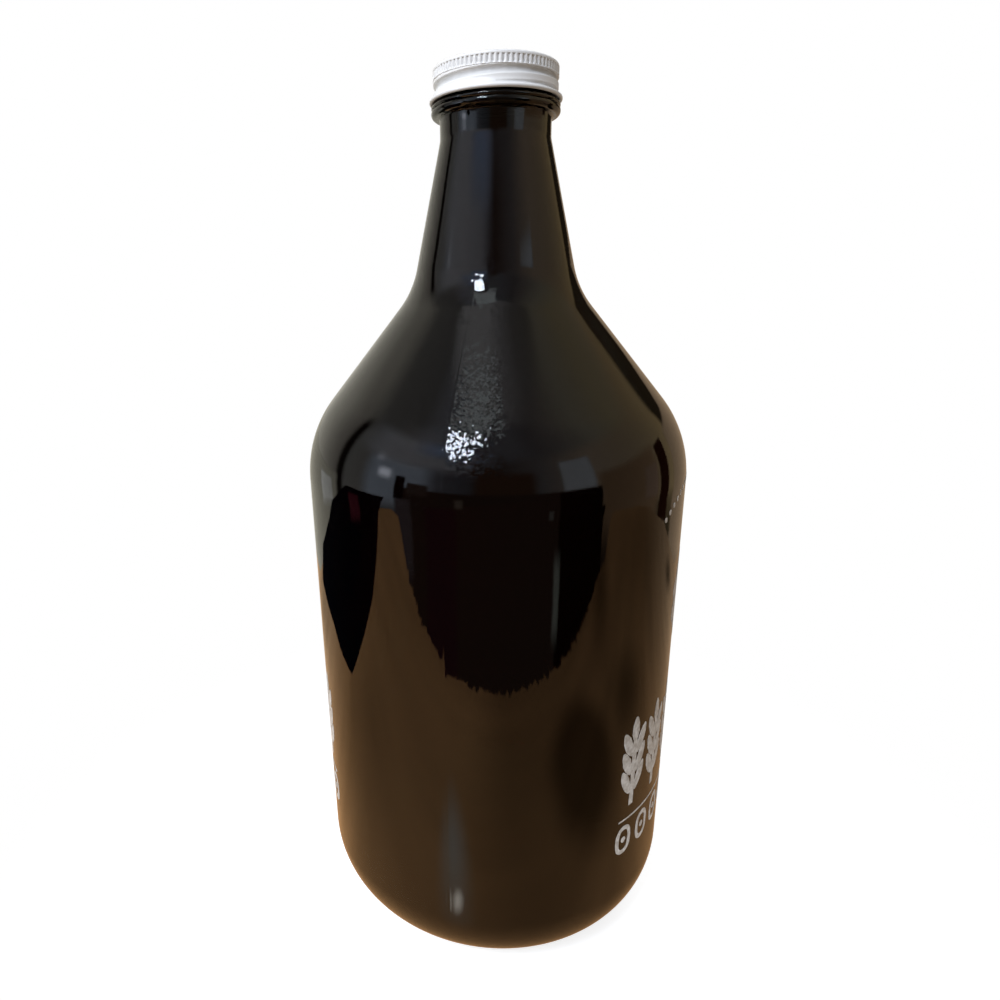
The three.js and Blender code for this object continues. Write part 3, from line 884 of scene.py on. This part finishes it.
def over(low, high, start, end):
    """low where the way points up by less than start degrees, high where by more than end, and a
    blend between."""
    start, end = np.sin(np.radians([start, end]))
    factor = add(tree, "ShaderNodeMapRange", {
        "Value": xyz["Z"], "From Min": start, "From Max": end},
        interpolation_type="SMOOTHSTEP").outputs[0]
    blend = add(tree, "ShaderNodeMix", {"Factor": factor, 6: low, 7: high}, data_type="RGBA")
    return blend.outputs[2]


walls = around_the_room([
    (-180, "#d6d3c7"), (-130, "#d2cec0"), (-108, "#a7a198"), (-105, "#221f1c"),
    (-101, "#221f1c"), (-98, "#9c9c98"), (-84, "#a3a19d"), (-38, "#83868f"), (-20, "#676b72"),
    (0, "#4f4a45"), (28, "#7d7c7b"), (60, "#c0ad98"), (90, "#b8a386"), (128, "#b1996f"),
    (132, "#3a3022"), (152, "#2b231a"), (156, "#b39b80"), (180, "#d6d3c7")])
upper_walls = around_the_room([
    (-180, "#cfcabd"), (-112, "#c9c5b8"), (-98, "#8c8b87"), (-70, "#868785"), (-48, "#a8adb8"),
    (-8, "#7e8488"), (12, "#7c8187"), (30, "#6f7071"), (48, "#8d8983"), (75, "#b3ac98"),
    (100, "#b9aa88"), (125, "#ac9a7b"), (180, "#cfcabd")])
ceiling = around_the_room([
    (-180, "#dddddd"), (-20, "#dedee0"), (12, "#b4b4b6"), (40, "#8a8986"), (80, "#7f7b6f"),
    (180, "#c8c6c0")])
sky = over(over(walls, upper_walls, 30, 40), ceiling, 62, 68)
down_dark = add(tree, "ShaderNodeMapRange", {
    "Value": xyz["Z"], "From Min": -0.35, "From Max": -0.2, "To Min": 0.05, "To Max": 1.0})
room = add(tree, "ShaderNodeBackground", {"Color": sky, "Strength": down_dark.outputs[0]})
white = add(tree, "ShaderNodeBackground", {"Color": (1, 1, 1, 1), "Strength": 1.0})
bounce = over(linear("#f3dabb"), (1, 1, 1, 1), -15, 5)
matt = add(tree, "ShaderNodeBackground", {"Color": bounce, "Strength": MATT_LIGHT})
rays = add(tree, "ShaderNodeLightPath").outputs
lit = add(tree, "ShaderNodeMixShader", {
    0: rays["Is Diffuse Ray"], 1: room.outputs[0], 2: matt.outputs[0]})
seen = add(tree, "ShaderNodeMixShader", {
    0: rays["Is Camera Ray"], 1: lit.outputs[0], 2: white.outputs[0]})
add(tree, "ShaderNodeOutputWorld", {"Surface": seen.outputs[0]})
print("soft room:", len(tree.nodes), "nodes")

# %% Area lights
def area_light(name, azimuth, elevation, distance, size, strength, colour="#ffffff", gloss=True):
    """A rectangle that faces the middle of the shoulder, from an azimuth off the front and an
    elevation in degrees. strength is its brightness: watts are brightness * area * pi."""
    way = Vector(toward(azimuth, elevation).tolist())
    data = bpy.data.lights.new(name, "AREA")
    data.shape, data.size, data.size_y = "RECTANGLE", size[0], size[1]
    data.energy = strength * size[0] * size[1] * np.pi
    data.color = linear(colour)[:3]
    made = bpy.data.objects.new(name, data)
    made.location = Vector(SHOULDER_MIDDLE.tolist()) + way * distance
    made.rotation_mode = "QUATERNION"
    made.rotation_quaternion = way.to_track_quat("Z", "Y")
    made.visible_glossy = gloss
    made.visible_camera = False
    scene.collection.objects.link(made)
    print(f"{name}: {data.energy:.1f} W")
    return made


area_light("key_light", -26, 45, 1.3, (0.34, 0.3), 26.0, "#e6efff")
area_light("overhead", -60, 34, 1.4, (0.7, 0.8), 6.0, gloss=False)
area_light("back_fill", 140, 35, 1.4, (0.8, 0.8), 2.5, gloss=False)

# %% [markdown]
# ## Camera
#
# A wide lens, about 26 mm in full-frame terms, a quarter of a metre from the
# axis. It is level with the root of the neck and points down by 15 degrees. The
# picture is cropped off centre, so the lens has a small shift.

# %% Camera
CAMERA_AT = Vector((0.0, -0.24634, 0.21919))     # metres
DOWN, YAW, ROLL = np.radians([14.6355, -4.7239, 0.9957])
SENSOR, FOCAL_LENGTH = 36.0, 25.7155             # mm
SHIFT_ACROSS, SHIFT_UP = 0.06287, -0.02361       # of the picture's width

forward = np.array([np.sin(YAW) * np.cos(DOWN), np.cos(YAW) * np.cos(DOWN), -np.sin(DOWN)])
level_right = np.array([np.cos(YAW), -np.sin(YAW), 0])
level_down = np.cross(forward, level_right)
right = np.cos(ROLL) * level_right + np.sin(ROLL) * level_down
down = np.cos(ROLL) * level_down - np.sin(ROLL) * level_right
turned = Matrix(np.stack([right, -down, -forward], 1).tolist())
lens = bpy.data.cameras.new("photo_camera")
lens.sensor_width, lens.lens = SENSOR, FOCAL_LENGTH
lens.shift_x, lens.shift_y = SHIFT_ACROSS, SHIFT_UP
lens.clip_start = 0.01
camera = bpy.data.objects.new("photo_camera", lens)
camera.location = CAMERA_AT
camera.rotation_mode = "QUATERNION"
camera.rotation_quaternion = turned.to_quaternion()
scene.collection.objects.link(camera)
scene.camera = camera
scene.view_settings.view_transform = "Standard"
print("camera at, metres:", tuple(CAMERA_AT))
